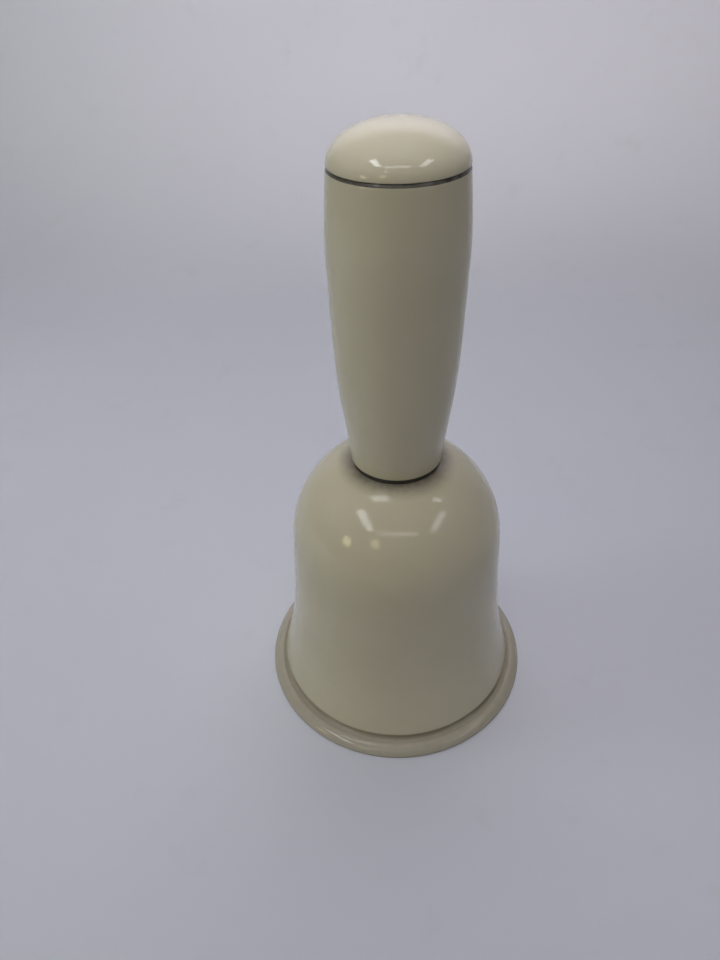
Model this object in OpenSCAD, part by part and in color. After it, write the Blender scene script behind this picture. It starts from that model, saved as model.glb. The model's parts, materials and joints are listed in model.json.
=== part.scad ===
// Porcelain hand bell: a glazed bell body, a barrel handle with a domed cap,
// the stud that clamps them together, and a clapper hung on a swivel eye.
// Millimetres, +Z up, origin at the middle of the foot ring.

/* [Bell body] */
// Height of the flat crown that carries the handle
bell_h = 67.3; // [60:0.1:80]
// Radius of the body at its waist
waist_r = 25.3; // [23:0.1:28]
// Radius of the crisp flared edge above the lip ring
flare_r = 30.3; // [29.5:0.1:31.5]
// Height of the flared edge
flare_z = 4.4; // [4:0.1:6]
// Outer radius of the lip ring that the bell stands on
lip_r = 34; // [33.4:0.1:36]
// Thickness of the porcelain wall
wall = 2.6; // [2:0.1:3.2]
// Thickness of the crown under the handle
crown_t = 3.6; // [3:0.1:4.5]

/* [Handle] */
// Length of the barrel, from its foot to its rim
barrel_len = 59.8; // [45:0.1:75]
// Radius of the barrel at its foot
foot_r = 10.05; // [9.6:0.05:10.6]
// Largest radius of the barrel
belly_r = 13.1; // [12:0.05:14]
// Radius of the barrel at its rim
rim_r = 12.3; // [11.6:0.05:12.9]
// Rise of the domed cap above the rim line
dome_h = 7.15; // [5:0.05:10]
// Width of the dark seam under the cap
seam_w = 0.6; // [0.4:0.1:1]
// Thickness of the gasket between the handle and the bell
gasket_t = 1.1; // [0.6:0.1:1.4]

/* [Clapper] */
// Radius of the clapper ball
ball_r = 6; // [5:0.1:6.5]
// Length from the swing axis to the middle of the ball
swing_len = 32.4; // [30:0.1:34]
// Radius of the wire in both eyes
eye_wire = 0.65; // [0.55:0.05:0.7]
// Mean radius of both eyes
eye_r = 2.3; // [2.2:0.05:2.5]

/* [Stud and nuts] */
// Radius of the tie stud, over its thread
stud_r = 2; // [1.5:0.1:2]
// Clearance round the stud in the porcelain
stud_gap = 0.5; // [0.3:0.1:0.8]
// Width across the flats of the nuts
nut_af = 7; // [6.5:0.1:7.5]
// Height of the barrel nut
nut_h = 3.2; // [2.4:0.1:4]

/* [Hidden] */
$fn = 96;
foot_z = bell_h + gasket_t;
rim_z = foot_z + barrel_len;
cap_z = rim_z + seam_w;
line_z = rim_z + seam_w / 2;
top_z = line_z + dome_h;
crown_z = bell_h - crown_t;
floor_z = foot_z + 4;
hole_r = stud_r + stud_gap;
spigot_r = rim_r - 2.9;
run = 0.05;

pad_t = 1;
washer_t = 1;
hanger_h = 7.5;
hanger_z = crown_z - pad_t - washer_t - hanger_h;
pin_r = 1;
head_r = 1.7;
// The swing axis is the middle of the wire at the bottom of the swivel eye.
swivel_eye_z = hanger_z - 3.6;
swing_z = swivel_eye_z - eye_r;
clap_eye_z = swing_z - (eye_r - 2 * eye_wire - 0.08);
ball_z = swing_z - swing_len;
wire_r = 0.8;

ivory = [0.87, 0.84, 0.76];
grey_seam = [0.30, 0.28, 0.24];
brass = [0.78, 0.62, 0.32];
steel = [0.70, 0.71, 0.72];
fibre = [0.48, 0.30, 0.22];

// A smooth curve through the points of p, n steps to each span.
function blend_pt(a, b, c, d, t) =
    0.5 * (2 * b + (c - a) * t + (2 * a - 5 * b + 4 * c - d) * t * t
           + (3 * b - a - 3 * c + d) * t * t * t);
function smooth(p, n) = concat(
    [for (i = [0:len(p) - 2]) for (j = [0:n - 1])
        blend_pt(p[max(i - 1, 0)], p[i], p[i + 1], p[min(i + 2, len(p) - 1)], j / n)],
    [p[len(p) - 1]]);
// The same curve moved by d to its right-hand side.
function beside(p, d) = [for (i = [0:len(p) - 1])
    let (a = p[max(i - 1, 0)], b = p[min(i + 1, len(p) - 1)], t = (b - a) / norm(b - a))
        p[i] + d * [t[1], -t[0]]];
function turned(p) = [for (i = [len(p) - 1:-1:0]) p[i]];

// Outside of the body from the crown to the flared edge. Each pair is a share
// of the way out to the waist or the flare, and of the way down.
crown_r = 9.8;
drop = bell_h - flare_z;
shoulder = [[0, 0], [0.28, 0.03], [0.535, 0.082], [0.74, 0.15], [0.9, 0.24],
            [0.97, 0.355], [1, 0.485]];
flare = [[0.14, 0.636], [0.42, 0.808], [1, 1]];
body_out = smooth(concat(
    [for (s = shoulder) [crown_r + s[0] * (waist_r - crown_r), bell_h - s[1] * drop]],
    [for (s = flare) [waist_r + s[0] * (flare_r - waist_r), bell_h - s[1] * drop]]), 4);
body_in = [for (p = beside(body_out, wall)) if (p[1] < crown_z - 0.4 && p[1] > flare_z) p];
// The flared edge, the groove under it and the rounded lip ring.
lip = smooth([[flare_r + 0.02, flare_z - 0.15], [flare_r - 0.2, flare_z - 0.45],
              [flare_r - 0.7, flare_z - 1.1], [flare_r - 0.8, 2.6],
              [flare_r - 0.4, 2], [flare_r + 0.3, 1.85], [lip_r - 2.7, 2.15],
              [lip_r - 1.9, 2.2], [lip_r - 1, 1.8], [lip_r - 0.3, 1.1],
              [lip_r, 0.5], [lip_r - 0.1, 0.14], [lip_r - 0.6, 0]], 2);

module bell_body() {
    color(ivory) rotate_extrude() polygon(concat(
        [[hole_r, bell_h], [crown_r - 0.8, bell_h]], body_out, lip,
        [[flare_r - 1.3, 0], [flare_r - 1.7, 0.4]],
        turned(body_in),
        [[body_in[0][0] - 1.8, crown_z], [hole_r, crown_z]]));
}

module neck_gasket() {
    color(grey_seam) translate([0, 0, bell_h]) difference() {
        cylinder(r = foot_r - 0.3, h = gasket_t);
        translate([0, 0, -1]) cylinder(r = hole_r + 0.2, h = gasket_t + 2);
    }
}

// Outside of the barrel: share of its length, share of the swell to the belly.
swell = [[0.02, 0.02], [0.12, 0.23], [0.28, 0.62], [0.46, 0.855], [0.64, 0.96], [0.82, 1]];
barrel_out = smooth(concat(
    [[foot_r - 0.5, foot_z], [foot_r - 0.12, foot_z + 0.2], [foot_r, foot_z + 0.6]],
    [for (s = swell) [foot_r + s[1] * (belly_r - foot_r), foot_z + s[0] * barrel_len]],
    [[rim_r + 0.38, foot_z + 0.93 * barrel_len], [rim_r + 0.05, rim_z - 0.35],
     [rim_r - 0.2, rim_z]]), 4);
barrel_in = smooth([[foot_r - 4.4, floor_z], [foot_r - 2.9, floor_z + 0.8],
                    [foot_r - 2, floor_z + 5], [belly_r - 3.6, foot_z + 0.3 * barrel_len],
                    [belly_r - 2.9, foot_z + 0.5 * barrel_len],
                    [belly_r - 2.7, foot_z + 0.8 * barrel_len],
                    [rim_r - 2.5, rim_z - 4], [rim_r - 2.5, rim_z]], 3);

module handle_barrel() {
    color(ivory) rotate_extrude() polygon(concat(
        [[hole_r, foot_z]], barrel_out, turned(barrel_in), [[hole_r, floor_z]]));
}

module cap_seam() {
    color(grey_seam) translate([0, 0, rim_z]) difference() {
        cylinder(r = rim_r - 0.35, h = seam_w);
        translate([0, 0, -1]) cylinder(r = spigot_r + 0.1, h = seam_w + 2);
    }
}

// The dome is a slightly flattened ellipse, turned in at its lower edge.
bulge = 2.1;
dome_out = [for (a = [6:4:90]) [max(0, (rim_r - 0.02) * pow(cos(a), 2 / bulge)),
                                line_z + dome_h * pow(sin(a), 2 / bulge)]];
dome_in = [for (a = [0:10:90]) [6.4 * cos(a), cap_z + (dome_h - 3) * sin(a)]];

module handle_cap() {
    color(ivory) rotate_extrude() polygon(concat(
        [[spigot_r, rim_z - 4], [spigot_r, cap_z], [rim_r - 0.6, cap_z],
         [rim_r - 0.25, cap_z + 0.12]],
        [for (p = dome_out) if (p[1] > cap_z + 0.25) p],
        turned(dome_in), [[6.4, rim_z - 4]]));
}

module tie_stud() {
    lower = hanger_z + hanger_h - 4;
    color(steel) translate([0, 0, lower]) union() {
        cylinder(r1 = stud_r - 0.4, r2 = stud_r, h = 0.4);
        translate([0, 0, 0.4]) cylinder(r = stud_r, h = floor_z + 8 - lower - 0.8);
        translate([0, 0, floor_z + 8 - lower - 0.4]) cylinder(r1 = stud_r, r2 = stud_r - 0.4, h = 0.4);
    }
}

module flat_washer(r_out, r_in, t) {
    difference() {
        cylinder(r = r_out, h = t);
        translate([0, 0, -1]) cylinder(r = r_in, h = t + 2);
    }
}

module barrel_pad() {
    color(fibre) translate([0, 0, floor_z]) flat_washer(4.9, stud_r + 0.15, pad_t);
}

module barrel_washer() {
    color(steel) translate([0, 0, floor_z + pad_t]) flat_washer(4.5, stud_r + 0.15, 0.8);
}

// A hexagon with both ends turned round at the corners.
module hex_body(af, h) {
    rc = af / sqrt(3);
    intersection() {
        cylinder(r = rc, h = h, $fn = 6);
        rotate_extrude() polygon([[0, 0], [af / 2 - 0.1, 0], [rc + 0.1, 0.45],
                                  [rc + 0.1, h - 0.45], [af / 2 - 0.1, h], [0, h]]);
    }
}

module barrel_nut() {
    color(brass) translate([0, 0, floor_z + pad_t + 0.8]) difference() {
        hex_body(nut_af, nut_h);
        translate([0, 0, -1]) cylinder(r = stud_r + run, h = nut_h + 2);
    }
}

module crown_pad() {
    color(fibre) translate([0, 0, crown_z - pad_t]) flat_washer(6.2, stud_r + 0.15, pad_t);
}

module crown_washer() {
    color(brass) translate([0, 0, crown_z - pad_t - washer_t]) difference() {
        rotate_extrude() polygon([[0, 0], [4.6, 0], [5.2, 0.15], [5.6, 0.6], [5.6, washer_t], [0, washer_t]]);
        translate([0, 0, -1]) cylinder(r = stud_r + 0.15, h = washer_t + 2);
    }
}

// Threads on to the stud and holds the head of the swivel eye.
module hanger_nut() {
    color(brass) translate([0, 0, hanger_z]) difference() {
        union() {
            translate([0, 0, 3]) hex_body(nut_af, hanger_h - 3);
            rotate_extrude() polygon([[0, 0], [1.8, 0], [2.6, 0.35], [3.1, 1.1], [3.2, 2], [3.2, 4], [0, 4]]);
        }
        translate([0, 0, 1.4]) cylinder(r = stud_r + run, h = hanger_h);
        translate([0, 0, -1]) cylinder(r = pin_r + run, h = 4);
    }
}

module eye_ring(z) {
    translate([0, 0, z]) rotate([90, 0, 0])
        rotate_extrude() translate([eye_r, 0]) circle(r = eye_wire, $fn = 32);
}

// Turns freely in the hanger nut: a headed pin with an eye below.
module swivel_eye() {
    color(brass) union() {
        translate([0, 0, hanger_z + 1.4 + run]) cylinder(r = head_r, h = 1.1);
        translate([0, 0, hanger_z - 0.4]) cylinder(r = pin_r, h = 1.4 + 0.5 + run);
        translate([0, 0, swivel_eye_z + eye_r]) cylinder(r1 = eye_wire - 0.15, r2 = pin_r, h = hanger_z - 0.4 - swivel_eye_z - eye_r);
        eye_ring(swivel_eye_z);
    }
}

// Eye, straight stem and riveted end, turned a quarter from the swivel eye.
module clapper_wire() {
    top = clap_eye_z - eye_r;
    end = ball_z - ball_r - 1.2;
    color(brass) union() {
        rotate([0, 0, 90]) eye_ring(clap_eye_z);
        translate([0, 0, top - 1.4]) cylinder(r1 = wire_r, r2 = eye_wire - 0.15, h = 1.4);
        translate([0, 0, end]) cylinder(r = wire_r, h = top - 1.4 - end);
        translate([0, 0, end - 0.7]) rotate_extrude()
            polygon([[0, 0], [0.8, 0.08], [1.3, 0.4], [1.5, 0.8], [1.5, 1], [0, 1]]);
    }
}

module clapper_ball() {
    color(ivory) translate([0, 0, ball_z]) difference() {
        sphere(r = ball_r);
        cylinder(r = wire_r + 0.1, h = 3 * ball_r, center = true);
        for (s = [-1, 1]) translate([0, 0, s * ball_r]) cylinder(r = 3.4, h = 0.8, center = true);
    }
}

module ball_collar() {
    color(brass) translate([0, 0, ball_z + ball_r - 0.4]) difference() {
        rotate_extrude() polygon([[0, 0], [1.7, 0], [1.9, 0.3], [1.9, 0.7], [1.5, 1.1],
                                  [1.5, 2.6], [1.3, 2.8], [0, 2.8]]);
        translate([0, 0, -1]) cylinder(r = wire_r + 0.02, h = 5);
    }
}

module ball_washer() {
    color(brass) translate([0, 0, ball_z - ball_r - 0.2]) difference() {
        rotate_extrude() polygon([[0, 0], [2.3, 0], [2.7, 0.25], [2.7, 0.6], [0, 0.6]]);
        translate([0, 0, -1]) cylinder(r = wire_r + 0.1, h = 3);
    }
}

bell_body();
neck_gasket();
handle_barrel();
cap_seam();
handle_cap();
tie_stud();
barrel_pad();
barrel_washer();
barrel_nut();
crown_pad();
crown_washer();
hanger_nut();
swivel_eye();
clapper_wire();
clapper_ball();
ball_collar();
ball_washer();
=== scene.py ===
import json
import math

import bmesh
import bpy
import numpy as np
from mathutils import Euler, Matrix, Vector

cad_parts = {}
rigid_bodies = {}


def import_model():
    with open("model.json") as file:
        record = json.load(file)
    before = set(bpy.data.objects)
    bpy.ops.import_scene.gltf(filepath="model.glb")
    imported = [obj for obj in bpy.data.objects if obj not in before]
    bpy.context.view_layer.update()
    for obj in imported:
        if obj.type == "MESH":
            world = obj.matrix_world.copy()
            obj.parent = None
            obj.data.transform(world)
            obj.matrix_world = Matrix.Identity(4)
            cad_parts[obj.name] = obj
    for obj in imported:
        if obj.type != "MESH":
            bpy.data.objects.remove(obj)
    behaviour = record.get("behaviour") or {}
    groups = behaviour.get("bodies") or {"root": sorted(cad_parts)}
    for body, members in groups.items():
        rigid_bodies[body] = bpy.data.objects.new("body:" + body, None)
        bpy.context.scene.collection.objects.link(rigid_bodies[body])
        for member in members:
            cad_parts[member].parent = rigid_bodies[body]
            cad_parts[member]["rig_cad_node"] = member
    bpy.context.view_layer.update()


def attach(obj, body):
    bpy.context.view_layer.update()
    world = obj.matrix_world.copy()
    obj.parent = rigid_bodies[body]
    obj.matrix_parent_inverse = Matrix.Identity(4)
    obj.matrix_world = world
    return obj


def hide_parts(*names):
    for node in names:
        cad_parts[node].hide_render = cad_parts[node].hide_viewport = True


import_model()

MM = 0.001
rng = np.random.default_rng(7)
scene = bpy.context.scene


# ---------------------------------------------------------------- dimensions, in mm
BELL_H, WAIST_R, FLARE_R, FLARE_Z, LIP_R, WALL, CROWN_T = 67.3, 25.3, 30.3, 4.4, 34.0, 2.6, 3.6
BARREL_LEN, FOOT_R, BELLY_R, RIM_R, DOME_H = 59.8, 10.05, 13.1, 12.3, 7.15
SEAM_W, GASKET_T = 0.6, 1.1
FOOT_Z = BELL_H + GASKET_T
RIM_Z = FOOT_Z + BARREL_LEN
CAP_Z = RIM_Z + SEAM_W
LINE_Z = RIM_Z + SEAM_W / 2
CROWN_Z = BELL_H - CROWN_T
FLOOR_Z = FOOT_Z + 4
STUD_R, HOLE_R = 2.0, 2.5
SPIGOT_R = RIM_R - 2.9


# ---------------------------------------------------------------- curves and lathe work
def spline(points, n, start=None, end=None):
    """A curve with continuous curvature through points, n steps to each span. start and end are end tangents."""
    p = np.array(points, float)
    h = np.sqrt(np.linalg.norm(np.diff(p, axis=0), axis=1)) ** 1.6
    m = len(p)
    a = np.zeros((m, m))
    b = np.zeros((m, 2))
    for i in range(1, m - 1):
        a[i, i - 1], a[i, i], a[i, i + 1] = h[i], 2 * (h[i - 1] + h[i]), h[i - 1]
        b[i] = 3 * (h[i] * (p[i] - p[i - 1]) / h[i - 1] + h[i - 1] * (p[i + 1] - p[i]) / h[i])
    if start is None:
        a[0, 0], a[0, 1], b[0] = 2, 1, 3 * (p[1] - p[0]) / h[0]
    else:
        a[0, 0], b[0] = 1, start
    if end is None:
        a[-1, -1], a[-1, -2], b[-1] = 2, 1, 3 * (p[-1] - p[-2]) / h[-1]
    else:
        a[-1, -1], b[-1] = 1, end
    s = np.linalg.solve(a, b)
    out = []
    for i in range(m - 1):
        for t in np.arange(n) / n:
            t2, t3 = t * t, t * t * t
            out.append((2 * t3 - 3 * t2 + 1) * p[i] + (t3 - 2 * t2 + t) * h[i] * s[i]
                       + (3 * t2 - 2 * t3) * p[i + 1] + (t3 - t2) * h[i] * s[i + 1])
    out.append(p[-1])
    return [tuple(q) for q in out]


def beside(points, d):
    p = np.array(points, float)
    t = np.gradient(p, axis=0)
    t /= np.linalg.norm(t, axis=1)[:, None]
    return [tuple(q) for q in p + d * np.stack([t[:, 1], -t[:, 0]], 1)]


def rounded(corner, before, after, r, n=5):
    """Points that round the corner between the directions of before and after with radius about r."""
    c, a, b = (np.array(v, float) for v in (corner, before, after))
    u, v = (a - c) / np.linalg.norm(a - c), (b - c) / np.linalg.norm(b - c)
    cut = min(r, 0.49 * np.linalg.norm(a - c), 0.49 * np.linalg.norm(b - c))
    s, e = c + u * cut, c + v * cut
    return [tuple((1 - t) ** 2 * s + 2 * t * (1 - t) * c + t * t * e) for t in np.linspace(0, 1, n)]


def soften(loop, radii, n=5):
    """A closed loop with the corners named in radii, {index: radius}, rounded."""
    out = []
    for i, p in enumerate(loop):
        r = radii.get(i)
        out += rounded(p, loop[i - 1], loop[(i + 1) % len(loop)], r, n) if r else [tuple(p)]
    return out


def finish_mesh(name, bm, mat, body, smooth=True, flat_angle=None, centre=None):
    mesh = bpy.data.meshes.new(name)
    bmesh.ops.recalc_face_normals(bm, faces=bm.faces[:])
    bm.to_mesh(mesh)
    bm.free()
    mesh.validate()
    ob = bpy.data.objects.new(name, mesh)
    scene.collection.objects.link(ob)
    for poly in mesh.polygons:
        poly.use_smooth = smooth
    if flat_angle:
        mesh.set_sharp_from_angle(angle=math.radians(flat_angle))
    mesh.materials.append(mat)
    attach(ob, body)
    return ob


def lathe(name, loop, mat, body, seg=256, closed=True, z0=0.0, wobble=0.0, flat_angle=None):
    """Turns a loop of (r, z) in mm round Z. wobble is the unevenness of a cast piece, in mm."""
    bm = bmesh.new()
    rings = []
    for k, (r, z) in enumerate(loop):
        if r < 1e-6:
            rings.append([bm.verts.new((0, 0, (z + z0) * MM))])
            continue
        ring = []
        for j in range(seg):
            a = 2 * math.pi * j / seg
            w = 0.0
            if wobble:
                w = wobble * (0.5 * math.sin(2 * a + 0.035 * z + 0.6) + 0.3 * math.sin(3 * a - 0.06 * z + 1.9)
                              + 0.2 * math.sin(a + 0.13 * z))
                w = min(w, 0.0) if r > LIP_R - 0.3 else w
            rr = (r + w) * MM
            ring.append(bm.verts.new((rr * math.cos(a), rr * math.sin(a), (z + z0) * MM)))
        rings.append(ring)
    pairs = list(zip(rings, rings[1:] + rings[:1])) if closed else list(zip(rings[:-1], rings[1:]))
    for a, b in pairs:
        if len(a) == 1 and len(b) == 1:
            continue
        for j in range(seg):
            k = (j + 1) % seg
            if len(a) == 1:
                bm.faces.new((a[0], b[j], b[k]))
            elif len(b) == 1:
                bm.faces.new((a[j], b[0], a[k]))
            else:
                bm.faces.new((a[j], b[j], b[k], a[k]))
    return finish_mesh(name, bm, mat, body, flat_angle=flat_angle)


# ---------------------------------------------------------------- materials
class Tree:
    """Short hand for building one material's nodes."""

    def __init__(self, name):
        self.mat = bpy.data.materials.new(name)
        self.mat.use_nodes = True
        self.nt = self.mat.node_tree
        self.nt.nodes.clear()
        self.out = self.nt.nodes.new("ShaderNodeOutputMaterial")
        self.bsdf = self.nt.nodes.new("ShaderNodeBsdfPrincipled")
        self.nt.links.new(self.bsdf.outputs[0], self.out.inputs["Surface"])
        self.coord = self.nt.nodes.new("ShaderNodeTexCoord")

    def set(self, **values):
        for k, v in values.items():
            self.bsdf.inputs[k.replace("_", " ")].default_value = v

    def link(self, a, b):
        self.nt.links.new(a, b)

    def noise(self, scale, detail=3.0, rough=0.55, stretch=(1, 1, 1), distortion=0.0):
        m = self.nt.nodes.new("ShaderNodeMapping")
        m.inputs["Scale"].default_value = stretch
        self.link(self.coord.outputs["Object"], m.inputs["Vector"])
        n = self.nt.nodes.new("ShaderNodeTexNoise")
        n.inputs["Scale"].default_value = scale
        n.inputs["Detail"].default_value = detail
        n.inputs["Roughness"].default_value = rough
        n.inputs["Distortion"].default_value = distortion
        self.link(m.outputs[0], n.inputs["Vector"])
        return n.outputs["Fac"]

    def voronoi(self, scale, feature="F1", stretch=(1, 1, 1)):
        m = self.nt.nodes.new("ShaderNodeMapping")
        m.inputs["Scale"].default_value = stretch
        self.link(self.coord.outputs["Object"], m.inputs["Vector"])
        n = self.nt.nodes.new("ShaderNodeTexVoronoi")
        n.feature = feature
        n.inputs["Scale"].default_value = scale
        self.link(m.outputs[0], n.inputs["Vector"])
        return n.outputs["Distance"]

    def ramp(self, fac, stops, smooth=False):
        n = self.nt.nodes.new("ShaderNodeValToRGB")
        if smooth:
            n.color_ramp.interpolation = "EASE"
        while len(n.color_ramp.elements) < len(stops):
            n.color_ramp.elements.new(0.5)
        for e, (pos, col) in zip(n.color_ramp.elements, stops):
            e.position = pos
            e.color = (*col, 1) if len(col) == 3 else col
        self.link(fac, n.inputs["Fac"])
        return n.outputs["Color"]

    def remap(self, value, a, b, c, d):
        n = self.nt.nodes.new("ShaderNodeMapRange")
        for k, v in zip(("From Min", "From Max", "To Min", "To Max"), (a, b, c, d)):
            n.inputs[k].default_value = v
        self.link(value, n.inputs["Value"])
        return n.outputs["Result"]

    def math(self, op, a, b=0.0, clamp=False):
        n = self.nt.nodes.new("ShaderNodeMath")
        n.operation = op
        n.use_clamp = clamp
        for k, v in enumerate((a, b)):
            if isinstance(v, (int, float)):
                n.inputs[k].default_value = v
            else:
                self.link(v, n.inputs[k])
        return n.outputs[0]

    def mix(self, fac, a, b, blend="MIX"):
        n = self.nt.nodes.new("ShaderNodeMix")
        n.data_type = "RGBA"
        n.blend_type = blend
        for socket, v in ((n.inputs[0], fac), (n.inputs[6], a), (n.inputs[7], b)):
            if isinstance(v, (int, float)):
                socket.default_value = v
            elif isinstance(v, tuple):
                socket.default_value = (*v, 1) if len(v) == 3 else v
            else:
                self.link(v, socket)
        return n.outputs[2]

    def axis(self, which):
        n = self.nt.nodes.new("ShaderNodeSeparateXYZ")
        self.link(self.coord.outputs["Object"], n.inputs[0])
        return n.outputs[which]

    def bump(self, height, strength, distance, chain=None):
        n = self.nt.nodes.new("ShaderNodeBump")
        n.inputs["Strength"].default_value = strength
        n.inputs["Distance"].default_value = distance
        self.link(height, n.inputs["Height"])
        if chain is not None:
            self.link(chain, n.inputs["Normal"])
        return n.outputs[0]


def glaze(name, base=(0.585, 0.535, 0.376), foot=False):
    """Cream glaze: faint clouding, a few pin specks, gentle orange peel, and gloss that varies a little. With foot,
    also a bare foot ring, plus painted shade in the lip groove and at the handle joint.
    """
    t = Tree(name)
    cloud = t.noise(28, 4, 0.6)
    pale = tuple(min(1, c * 1.035) for c in base)
    deep = (base[0] * 0.955, base[1] * 0.95, base[2] * 0.915)
    col = t.ramp(cloud, [(0.3, deep), (0.5, base), (0.72, pale)])
    fine = t.noise(420, 3, 0.6)
    col = t.mix(t.remap(fine, 0.35, 0.75, 0.0, 0.10), col, tuple(c * 0.86 for c in base))
    speck = t.voronoi(150)
    rare = t.noise(60, 1, 0.5)
    mask = t.math("MULTIPLY", t.remap(speck, 0.03, 0.055, 1.0, 0.0), t.remap(rare, 0.66, 0.70, 0.0, 0.55))
    col = t.mix(mask, col, (0.16, 0.12, 0.08))
    rough = t.math("ADD", t.remap(t.noise(90, 4, 0.6), 0.3, 0.7, 0.085, 0.125),
                   t.remap(t.noise(900, 2, 0.5), 0.55, 0.8, 0.0, 0.05))
    if foot:
        z = t.axis("Z")
        # Below about 3 mm the glaze is painted darker and greyer: painted shade in the groove under the flare edge, and
        # a darker tone on the lip ring. The crown next to the handle joint is painted darker as well, as painted shade
        # under the handle's foot.
        patchy_shade = t.noise(700, 3, 0.6)
        # Painted shade in the lip groove and a darker tone on the ring: the mask is 1 below about 2.6 mm and 0 above
        # 3.4 mm, broken up by noise.
        ring = t.remap(t.math("ADD", z, t.math("MULTIPLY", patchy_shade, 0.0003)), 0.0026, 0.0034, 1.0, 0.0)
        col = t.mix(t.math("MULTIPLY", ring, t.remap(patchy_shade, 0.3, 0.7, 0.85, 1.0)), col, (0.41, 0.375, 0.29))
        # Painted shade: the crown darkens towards the handle's foot over its last 1.6 mm, standing in for the shadow
        # under the handle.
        painted_neck_shade = t.remap(z, (BELL_H - 1.7) * MM, (BELL_H - 0.1) * MM, 0.0, 1.0)
        painted_neck_shade = t.math("MULTIPLY", t.math("POWER", painted_neck_shade, 1.6), t.remap(patchy_shade, 0.3, 0.7, 0.75, 1.0))
        col = t.mix(painted_neck_shade, col, (0.175, 0.15, 0.11))
        wipe = t.remap(t.noise(300, 2, 0.5), 0, 1, -0.00008, 0.00008)
        bare = t.remap(t.math("ADD", z, wipe), 0.00012, 0.00030, 1.0, 0.0)
        grit = t.ramp(t.noise(2500, 3, 0.7), [(0.3, (0.60, 0.55, 0.47)), (0.7, (0.78, 0.74, 0.66))])
        col = t.mix(bare, col, grit)
        rough = t.math("ADD", rough, t.math("MULTIPLY", bare, 0.55), clamp=True)
    t.link(col, t.bsdf.inputs["Base Color"])
    t.link(rough, t.bsdf.inputs["Roughness"])
    peel = t.bump(t.noise(230, 2, 0.5), 0.05, 0.0004)
    fine_b = t.bump(t.noise(1400, 2, 0.5), 0.03, 0.00012, peel)
    t.link(fine_b, t.bsdf.inputs["Normal"])
    t.set(IOR=1.52, Specular_IOR_Level=0.5)
    t.set(Subsurface_Weight=0.12, Subsurface_Scale=0.0015)
    t.bsdf.inputs["Subsurface Radius"].default_value = (1.0, 0.8, 0.55)
    return t.mat


def metal(name, base, dark, rough=(0.22, 0.42), grain=(1, 1, 1), scratches=True, tarnish=0.5):
    t = Tree(name)
    cloud = t.noise(260, 5, 0.65)
    lo, hi = 0.62 - 0.14 * tarnish, 0.78
    col = t.ramp(cloud, [(0.35, base), (lo, tuple(0.82 * c for c in base)), (hi, dark)])
    t.link(col, t.bsdf.inputs["Base Color"])
    brushed = t.noise(1500, 3, 0.6, stretch=grain)
    r = t.math("ADD", t.remap(cloud, 0.3, 0.8, rough[0], rough[1]), t.remap(brushed, 0.35, 0.7, -0.04, 0.08))
    t.link(r, t.bsdf.inputs["Roughness"])
    b = t.bump(brushed, 0.12 if scratches else 0.05, 0.00008)
    b = t.bump(t.noise(700, 2, 0.5), 0.06, 0.0001, b)
    t.link(b, t.bsdf.inputs["Normal"])
    t.set(Metallic=1.0, IOR=1.5)
    return t.mat


def fibre_mat(name, a, b, scale=1800, rough=0.85):
    t = Tree(name)
    f = t.noise(scale, 5, 0.7, stretch=(1, 1, 0.3), distortion=0.6)
    t.link(t.ramp(f, [(0.3, a), (0.7, b)]), t.bsdf.inputs["Base Color"])
    t.link(t.remap(f, 0.3, 0.7, rough - 0.1, rough + 0.05), t.bsdf.inputs["Roughness"])
    t.link(t.bump(f, 0.35, 0.0001), t.bsdf.inputs["Normal"])
    return t.mat


def seam_mat():
    t = Tree("dark_seam")
    f = t.noise(500, 4, 0.6)
    t.link(t.ramp(f, [(0.3, (0.085, 0.077, 0.060)), (0.7, (0.135, 0.122, 0.098))]), t.bsdf.inputs["Base Color"])
    t.link(t.remap(t.noise(900, 3, 0.6), 0.3, 0.7, 0.22, 0.4), t.bsdf.inputs["Roughness"])
    t.link(t.bump(f, 0.15, 0.0001), t.bsdf.inputs["Normal"])
    return t.mat


CREAM = glaze("cream_glaze")
CREAM_FOOT_SHADED = glaze("cream_glaze_bare_foot_painted_shade", foot=True)
BEAD = glaze("bead_glaze", (0.63, 0.60, 0.50))
SEAM = seam_mat()
GASKET = fibre_mat("neck_gasket_rubber", (0.035, 0.032, 0.026), (0.07, 0.062, 0.05), 900, 0.7)
FIBRE = fibre_mat("red_fibre", (0.26, 0.10, 0.06), (0.40, 0.19, 0.12))
BRASS = metal("drawn_brass", (0.80, 0.60, 0.27), (0.36, 0.24, 0.11), grain=(1, 1, 0.08))
BRASS_TURNED = metal("turned_brass", (0.83, 0.64, 0.30), (0.40, 0.27, 0.12), (0.18, 0.36), grain=(0.12, 0.12, 1))
STEEL = metal("plated_steel", (0.66, 0.66, 0.67), (0.34, 0.33, 0.31), grain=(1, 1, 0.2), tarnish=0.3)


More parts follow.
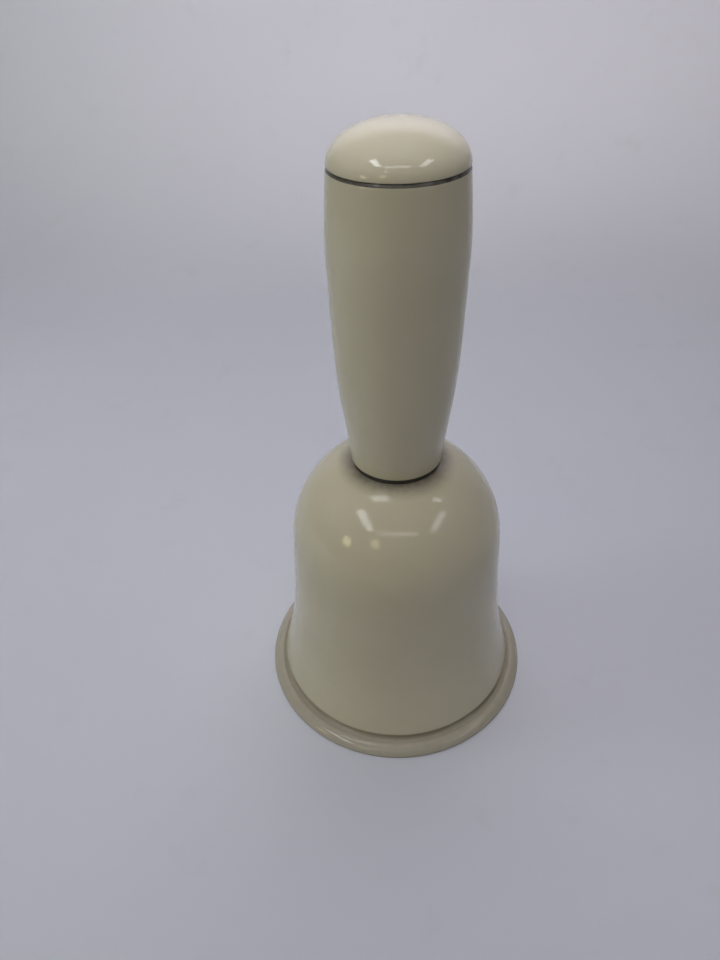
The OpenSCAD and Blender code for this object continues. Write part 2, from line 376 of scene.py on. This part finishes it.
# ---------------------------------------------------------------- bell body
drop = BELL_H - FLARE_Z
crown_r = 9.8
shoulder = [(0, 0), (0.28, 0.03), (0.535, 0.082), (0.74, 0.15), (0.9, 0.24), (0.97, 0.355), (1, 0.485)]
flare = [(0.14, 0.636), (0.42, 0.808), (1, 1)]
ctrl = [(crown_r + s * (WAIST_R - crown_r), BELL_H - g * drop) for s, g in shoulder]
ctrl += [(WAIST_R + s * (FLARE_R - WAIST_R), BELL_H - g * drop) for s, g in flare]
body_out = spline(ctrl, 12)
body_in = [p for p in beside(body_out, WALL) if p[1] < CROWN_Z - 0.4 and p[1] > FLARE_Z]
lip = spline([(FLARE_R + 0.02, FLARE_Z - 0.15), (FLARE_R - 0.2, FLARE_Z - 0.45), (FLARE_R - 0.7, FLARE_Z - 1.1),
              (FLARE_R - 0.8, 2.6), (FLARE_R - 0.4, 2.0), (FLARE_R + 0.3, 1.85), (LIP_R - 2.7, 2.15),
              (LIP_R - 1.9, 2.2), (LIP_R - 1, 1.8), (LIP_R - 0.3, 1.1), (LIP_R, 0.5), (LIP_R - 0.1, 0.14),
              (LIP_R - 0.6, 0)], 5)
lip = [(min(r, LIP_R), max(z, 0)) for r, z in lip]
crown_in = spline([(HOLE_R + 0.3, CROWN_Z), (body_in[0][0] - 4.5, CROWN_Z), (body_in[0][0] - 1.5, CROWN_Z - 0.05),
                   body_in[0]], 6)
body_loop = (rounded((HOLE_R, BELL_H), (HOLE_R, CROWN_Z), (9, BELL_H), 0.25) + [(crown_r - 1.6, BELL_H)]
             + body_out + lip
             + [(FLARE_R - 1.2, 0), (FLARE_R - 1.5, 0.12), (FLARE_R - 1.7, 0.5)]
             + body_in[::-1] + crown_in[::-1][1:]
             + [(HOLE_R, CROWN_Z + 0.3)])
bell = lathe("porcelain_bell_body", body_loop, CREAM_FOOT_SHADED, "bell", seg=288, wobble=0.05)
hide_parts("bell_body")

# ---------------------------------------------------------------- handle barrel
swell = [(0.02, 0.02), (0.12, 0.23), (0.28, 0.62), (0.46, 0.855), (0.64, 0.96), (0.82, 1)]
side = spline([(FOOT_R + s * (BELLY_R - FOOT_R), FOOT_Z + g * BARREL_LEN) for g, s in swell]
              + [(RIM_R + 0.38, FOOT_Z + 0.93 * BARREL_LEN), (RIM_R + 0.05, RIM_Z - 0.3)], 10)
side += [(RIM_R + 0.03, RIM_Z - 0.16), (RIM_R + 0.015, RIM_Z - 0.08), (RIM_R + 0.008, RIM_Z - 0.04)]
barrel_out = (rounded((FOOT_R, FOOT_Z), (0, FOOT_Z), (FOOT_R, RIM_Z), 0.4, 8)
              + side + rounded((RIM_R, RIM_Z), side[-1], (5, RIM_Z), 0.03, 3))
barrel_in = spline([(FOOT_R - 4.4, FLOOR_Z), (FOOT_R - 2.9, FLOOR_Z + 0.8), (FOOT_R - 2, FLOOR_Z + 5),
                    (BELLY_R - 3.6, FOOT_Z + 0.3 * BARREL_LEN), (BELLY_R - 2.9, FOOT_Z + 0.5 * BARREL_LEN),
                    (BELLY_R - 2.7, FOOT_Z + 0.8 * BARREL_LEN), (RIM_R - 2.5, RIM_Z - 4), (RIM_R - 2.5, RIM_Z - 0.2)], 6)
barrel_loop = ([(HOLE_R, FOOT_Z)] + barrel_out + [(RIM_R - 2.3, RIM_Z)] + barrel_in[::-1] + [(HOLE_R, FLOOR_Z)])
barrel = lathe("porcelain_handle_barrel", barrel_loop, CREAM, "bell", seg=224, wobble=0.035)
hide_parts("handle_barrel")

# ---------------------------------------------------------------- domed cap
bulge = 2.1
dome = [((RIM_R - 0.02) * math.cos(a) ** (2 / bulge), LINE_Z + DOME_H * math.sin(a) ** (2 / bulge))
        for a in (math.radians(v) for v in np.arange(7, 90, 1.5))]
dome = [p for p in dome if p[1] > CAP_Z + 0.55]
hollow = [(6.4 * math.cos(a), CAP_Z + (DOME_H - 3) * math.sin(a)) for a in (math.radians(v) for v in range(0, 90, 5))]
cap_loop = ([(6.4, RIM_Z - 4), (SPIGOT_R, RIM_Z - 4), (SPIGOT_R, CAP_Z)]
            + rounded((RIM_R - 0.02, CAP_Z), (5, CAP_Z), dome[0], 0.75, 10)
            + dome + [(0, LINE_Z + DOME_H), (0, CAP_Z + DOME_H - 3)] + hollow[::-1])
cap_loop = soften(cap_loop, {0: 0.4, 1: 0.4})
cap = lathe("porcelain_handle_cap", cap_loop, CREAM, "bell", seg=224, wobble=0.0)
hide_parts("handle_cap")

# ---------------------------------------------------------------- seam and gasket
seam_loop = ([(SPIGOT_R + 0.1, RIM_Z), (RIM_R - 0.6, RIM_Z)]
             + spline([(RIM_R - 0.03, RIM_Z), (RIM_R - 0.12, RIM_Z + 0.2), (RIM_R - 0.4, CAP_Z)], 4)
             + [(SPIGOT_R + 0.1, CAP_Z)])
seam = lathe("dark_cap_seam", seam_loop, SEAM, "bell", seg=224)
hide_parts("cap_seam")
g_r = FOOT_R - 0.3
gasket_loop = ([(HOLE_R + 0.2, BELL_H), (g_r - 0.2, BELL_H)]
               + spline([(g_r - 0.1, BELL_H), (g_r, BELL_H + 0.55), (g_r - 0.1, FOOT_Z)], 4) + [(HOLE_R + 0.2, FOOT_Z)])
gasket = lathe("dark_neck_gasket", gasket_loop, GASKET, "bell", seg=160)
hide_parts("neck_gasket")


# ---------------------------------------------------------------- carried-over CAD nodes
def dress(node, mat):
    for o in bpy.data.objects:
        if o.get("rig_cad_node") == node:
            o.data.materials.clear()
            o.data.materials.append(mat)
            return o


for n, m in (("tie_stud", STEEL), ("barrel_pad", FIBRE), ("barrel_washer", STEEL), ("barrel_nut", BRASS_TURNED),
             ("crown_pad", FIBRE), ("crown_washer", BRASS_TURNED), ("hanger_nut", BRASS_TURNED),
             ("swivel_eye", BRASS), ("clapper_wire", BRASS), ("clapper_ball", BEAD), ("ball_collar", BRASS),
             ("ball_washer", BRASS_TURNED)):
    dress(n, m)


# ---------------------------------------------------------------- table, backdrop and light
def stage_mat():
    t = Tree("pale_table")
    big = t.noise(5, 3, 0.5)
    fine = t.noise(55, 4, 0.6)
    col = t.ramp(big, [(0.3, (0.81, 0.82, 0.865)), (0.7, (0.85, 0.86, 0.90))])
    col = t.mix(t.remap(fine, 0.60, 0.78, 0.0, 0.35), col, (0.75, 0.75, 0.775))
    t.link(col, t.bsdf.inputs["Base Color"])
    t.link(t.remap(fine, 0.3, 0.7, 0.5, 0.62), t.bsdf.inputs["Roughness"])
    t.link(t.bump(t.noise(400, 3, 0.6), 0.05, 0.0002), t.bsdf.inputs["Normal"])
    t.set(Specular_IOR_Level=0.25)
    return t.mat


def sweep(name, mat, y_wall, radius, half_w, front, top):
    """A floor that curves up into a wall behind the object."""
    path = [(front, 0.0), (-0.4, 0.0), (0.0, 0.0), (y_wall - radius, 0.0)]
    path += [(y_wall - radius + radius * math.sin(a), radius - radius * math.cos(a))
             for a in np.linspace(0.1, math.pi / 2, 20)]
    path += [(y_wall, top)]
    bm = bmesh.new()
    rows = [[bm.verts.new((x, y, z)) for x in np.linspace(-half_w, half_w, 9)] for y, z in path]
    for a, b in zip(rows[:-1], rows[1:]):
        for j in range(8):
            bm.faces.new((a[j], a[j + 1], b[j + 1], b[j]))
    mesh = bpy.data.meshes.new(name)
    bm.to_mesh(mesh)
    bm.free()
    for p in mesh.polygons:
        p.use_smooth = True
    mesh.materials.append(mat)
    ob = bpy.data.objects.new(name, mesh)
    scene.collection.objects.link(ob)
    return ob


sweep("table_sweep", stage_mat(), 0.36, 0.12, 1.4, -1.2, 1.2)


def area(name, loc, aim, sx, sy, watts, colour=(1, 1, 1), spread=math.pi):
    d = bpy.data.lights.new(name, "AREA")
    d.shape = "RECTANGLE"
    d.size, d.size_y, d.energy, d.color = sx, sy, watts, colour
    d.spread = spread
    o = bpy.data.objects.new(name, d)
    o.location = loc
    o.rotation_euler = (Vector(aim) - Vector(loc)).to_track_quat("-Z", "Y").to_euler()
    o.visible_camera = False
    scene.collection.objects.link(o)
    return o


def only_on(lights, pieces):
    """These lights fall on these pieces only."""
    group = bpy.data.collections.new(lights[0].name + "_receivers")
    for p in pieces:
        group.objects.link(p)
    for o in lights:
        o.light_linking.receiver_collection = group


def bars(tag, H, x0, x1, y0, y1, sides, far, gain=1.0):
    """A rectangular frame of strip lights over the table, towards the viewer: the glaze mirrors it."""
    cool = (0.97, 0.98, 1.0)
    made = []
    for name, x, y, sx, sy, radiance in (
        ("far_left", (3 * x0 + x1) / 4 + 0.015, y1, (x1 - x0) * 0.13, sides * 0.6, far),
        ("far_right", (x0 + 3 * x1) / 4 + 0.02, y1, (x1 - x0) * 0.16, sides * 0.5, far * 0.8),
        ("near", (x0 + x1) / 2 - 0.09 * (x1 - x0), y0, (x1 - x0) * 0.6, sides * 0.8, 1.8),
        ("left", x0, (0.42 * y1 + 0.58 * y0), sides, (y1 - y0) * 0.6, 4.5),
        ("right", x1, (0.42 * y1 + 0.58 * y0), sides * 1.15, (y1 - y0) * 0.66, 2.8),
    ):
        if radiance:
            made.append(area("bar_%s_%s" % (tag, name), (x, y, H), (x, y, 0), sx, sy, gain * radiance * math.pi * sx * sy, cool))
    return made


only_on(bars("body", 0.40, -0.28, 0.43, -0.465, -0.02, 0.095, 3.6), [bell, barrel, gasket])
only_on(bars("cap", 0.40, -0.165, 0.22, -0.25, -0.01, 0.060, 0.0, 1.8), [cap, seam])

# Broad soft lights, kept out of the mirror image so that the glaze shows the thin lights only.
for name, loc, aim, sx, sy, w, colour in (
    ("soft_top", (0, -0.15, 0.9), (0, -0.15, 0), 0.30, 0.30, 1.38, (1.0, 0.98, 1.0)),
    ("soft_near_top", (0, 0, 0.27), (0, 0, 0), 0.10, 0.10, 0.10, (0.72, 0.75, 1.0)),
    ("soft_left", (-0.45, 0, 0.22), (0, 0, 0.07), 0.2, 0.2, 0.37, (0.84, 0.95, 1.0)),
    ("soft_right", (0.5, 0, 0.2), (0, 0, 0.07), 0.3, 0.3, 0.07, (0.78, 0.82, 1.0)),
    ("soft_wall", (0.05, 0.05, 0.55), (0.05, 0.40, 0.33), 0.6, 0.1, 0.80, (1.0, 0.92, 0.95)),
):
    lamp = area(name, loc, aim, sx, sy, w, colour)
    lamp.visible_glossy = False
    if name == "soft_wall":
        lamp.data.spread = math.radians(80)


def warm_spot(name, place, aim, size, radiance):
    return area(name, place, aim, size, size, radiance * math.pi * size * size, (1.0, 0.85, 0.50))


warm_spot("warm_a", (-0.189, -0.438, 0.263), (-0.004, -0.020, 0.060), 0.075, 3.0)
warm_spot("warm_b", (-0.411, -0.293, 0.177), (-0.010, -0.018, 0.059), 0.075, 4.5)
only_on([warm_spot("warm_c", (-0.163, -0.409, 0.387), (-0.002, -0.0115, 0.130), 0.035, 3.5)], [cap])

# The room: a dim even glow, with more or less light from each side.
ROOM = {"all": (0.02, 0.02, 0.02), "right": (0, 0, 0), "left": (0, 0, 0), "back": (0, 0, 0), "front": (0, 0, 0),
        "above": (0, 0, 0)}
world = bpy.data.worlds.new("soft_room")
scene.world = world
world.use_nodes = True
nt = world.node_tree
nt.nodes.clear()
wout = nt.nodes.new("ShaderNodeOutputWorld")
bg = nt.nodes.new("ShaderNodeBackground")
tc = nt.nodes.new("ShaderNodeTexCoord")
sep = nt.nodes.new("ShaderNodeSeparateXYZ")
nt.links.new(tc.outputs["Generated"], sep.inputs[0])
total = None
for key, colour in ROOM.items():
    v = nt.nodes.new("ShaderNodeVectorMath")
    v.operation = "MULTIPLY_ADD"
    v.name = "room_" + key
    v.inputs[1].default_value = colour
    if key == "all":
        v.inputs[0].default_value = (1, 1, 1)
    else:
        which, sign = {"right": (0, 1), "left": (0, -1), "back": (1, 1), "front": (1, -1), "above": (2, 1)}[key]
        m = nt.nodes.new("ShaderNodeMath")
        m.operation = "MULTIPLY"
        m.use_clamp = True
        m.inputs[1].default_value = sign
        nt.links.new(sep.outputs[which], m.inputs[0])
        nt.links.new(m.outputs[0], v.inputs[0])
    if total is None:
        v.inputs[2].default_value = (0, 0, 0)
    else:
        nt.links.new(total, v.inputs[2])
    total = v.outputs[0]
nt.links.new(total, bg.inputs["Color"])
nt.links.new(bg.outputs[0], wout.inputs["Surface"])

# ---------------------------------------------------------------- camera
cam_data = bpy.data.cameras.new("camera")
cam_data.sensor_width = 36
cam_data.lens = 26.0
cam_data.clip_start, cam_data.clip_end = 0.005, 20
cam = bpy.data.objects.new("camera", cam_data)
cam.location = (-0.0003, -0.1228, 0.1610)
cam.rotation_euler = Euler((math.radians(50.75), math.radians(1.62), math.radians(2.40)), "XYZ")
scene.collection.objects.link(cam)
scene.camera = cam
scene.view_settings.view_transform = "Standard"
scene.view_settings.look = "None"
